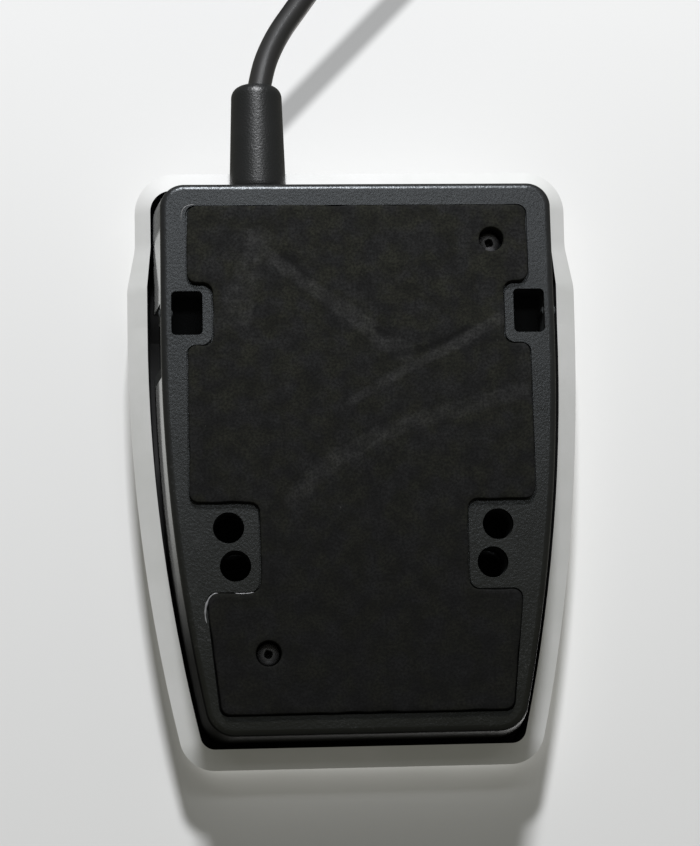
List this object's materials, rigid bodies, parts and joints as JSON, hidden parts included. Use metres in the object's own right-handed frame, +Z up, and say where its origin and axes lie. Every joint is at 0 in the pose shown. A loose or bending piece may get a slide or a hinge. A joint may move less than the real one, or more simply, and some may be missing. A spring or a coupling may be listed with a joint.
{
  "type": "foot pedal switch",
  "caption": "Rocking foot pedal over a flat base with a non-slip pad; a sprung micro switch closes when the pedal is pressed, and a cable ends in a plug.",
  "frame": {"origin": "on the floor under the middle of the pedal's outline", "axes": "+Z up, +Y towards the cable end, -Y towards the end that the foot presses"},
  "size_m": [0.0871, 0.2039, 0.0309],
  "materials": {
    "case_black": "fine texture",
    "pad_foam": "matt",
    "screw_black": "satin",
    "steel": "satin",
    "rubber_black": "matt",
    "switch_black": "satin",
    "brass_pins": "plated",
    "board_green": "gloss",
    "chip_black": "matt",
    "components": "mixed",
    "header_white": "matt",
    "jacket_black": "satin",
    "lead_insulation": "gloss",
    "pedal_grey": "satin",
    "plunger_red": "gloss",
    "sleeve_black": "satin",
    "tie_black": "matt",
    "plug_metal": "bright",
    "tongue_white": "matt"
  },
  "bodies": {
    "base": {"base_tray": "case_black", "base_deck": "case_black", "nonslip_pad": "pad_foam", "case_screws": "screw_black", "hinge_axle": "steel", "axle_clips": "steel", "spring_left": "steel", "spring_right": "steel", "front_bumpers": "rubber_black", "rear_bumpers": "rubber_black", "switch_housing": "switch_black", "switch_terminals": "brass_pins", "circuit_board": "board_green", "controller_chip": "chip_black", "board_components": "components", "cable_header": "header_white", "board_screws": "steel", "jacket_end": "jacket_black", "lead_wires": "lead_insulation", "cable_clamp": "case_black", "clamp_screws": "steel", "strain_relief": "sleeve_black", "cable_run": "jacket_black", "cable_coil": "jacket_black", "cable_tail": "jacket_black", "cable_tie": "tie_black", "plug_overmould": "sleeve_black", "plug_shell": "plug_metal", "plug_tongue": "tongue_white", "plug_contacts": "brass_pins"},
    "pedal": {"pedal_shell": "pedal_grey"},
    "lever": {"switch_lever": "steel"},
    "plunger": {"switch_plunger": "plunger_red"}
  },
  "joints": [
    {"name": "pedal_press", "type": "hinge", "parent": "base", "child": "pedal", "pos_m": [0, 0.024, 0.0195], "axis": [1, 0, 0], "range_deg": [0, 3.35], "stiffness_Nm_per_rad": 4, "springref_deg": -3.44, "deforming": ["spring_left", "spring_right"]},
    {"name": "switch_lever_turn", "type": "hinge", "parent": "base", "child": "lever", "pos_m": [0, -0.0065, 0.01385], "axis": [1, 0, 0], "range_deg": [0, 13.1]},
    {"name": "switch_plunger_slide", "type": "slide", "parent": "base", "child": "plunger", "axis": [0, 0, -1], "range_m": [0, 0.0008]}
  ],
  "couplings": [
    {"joint": "switch_lever_turn", "follows": "pedal_press", "ratio": 3.9},
    {"joint": "switch_plunger_slide", "follows": "pedal_press", "m_per_rad": 0.0135}
  ]
}
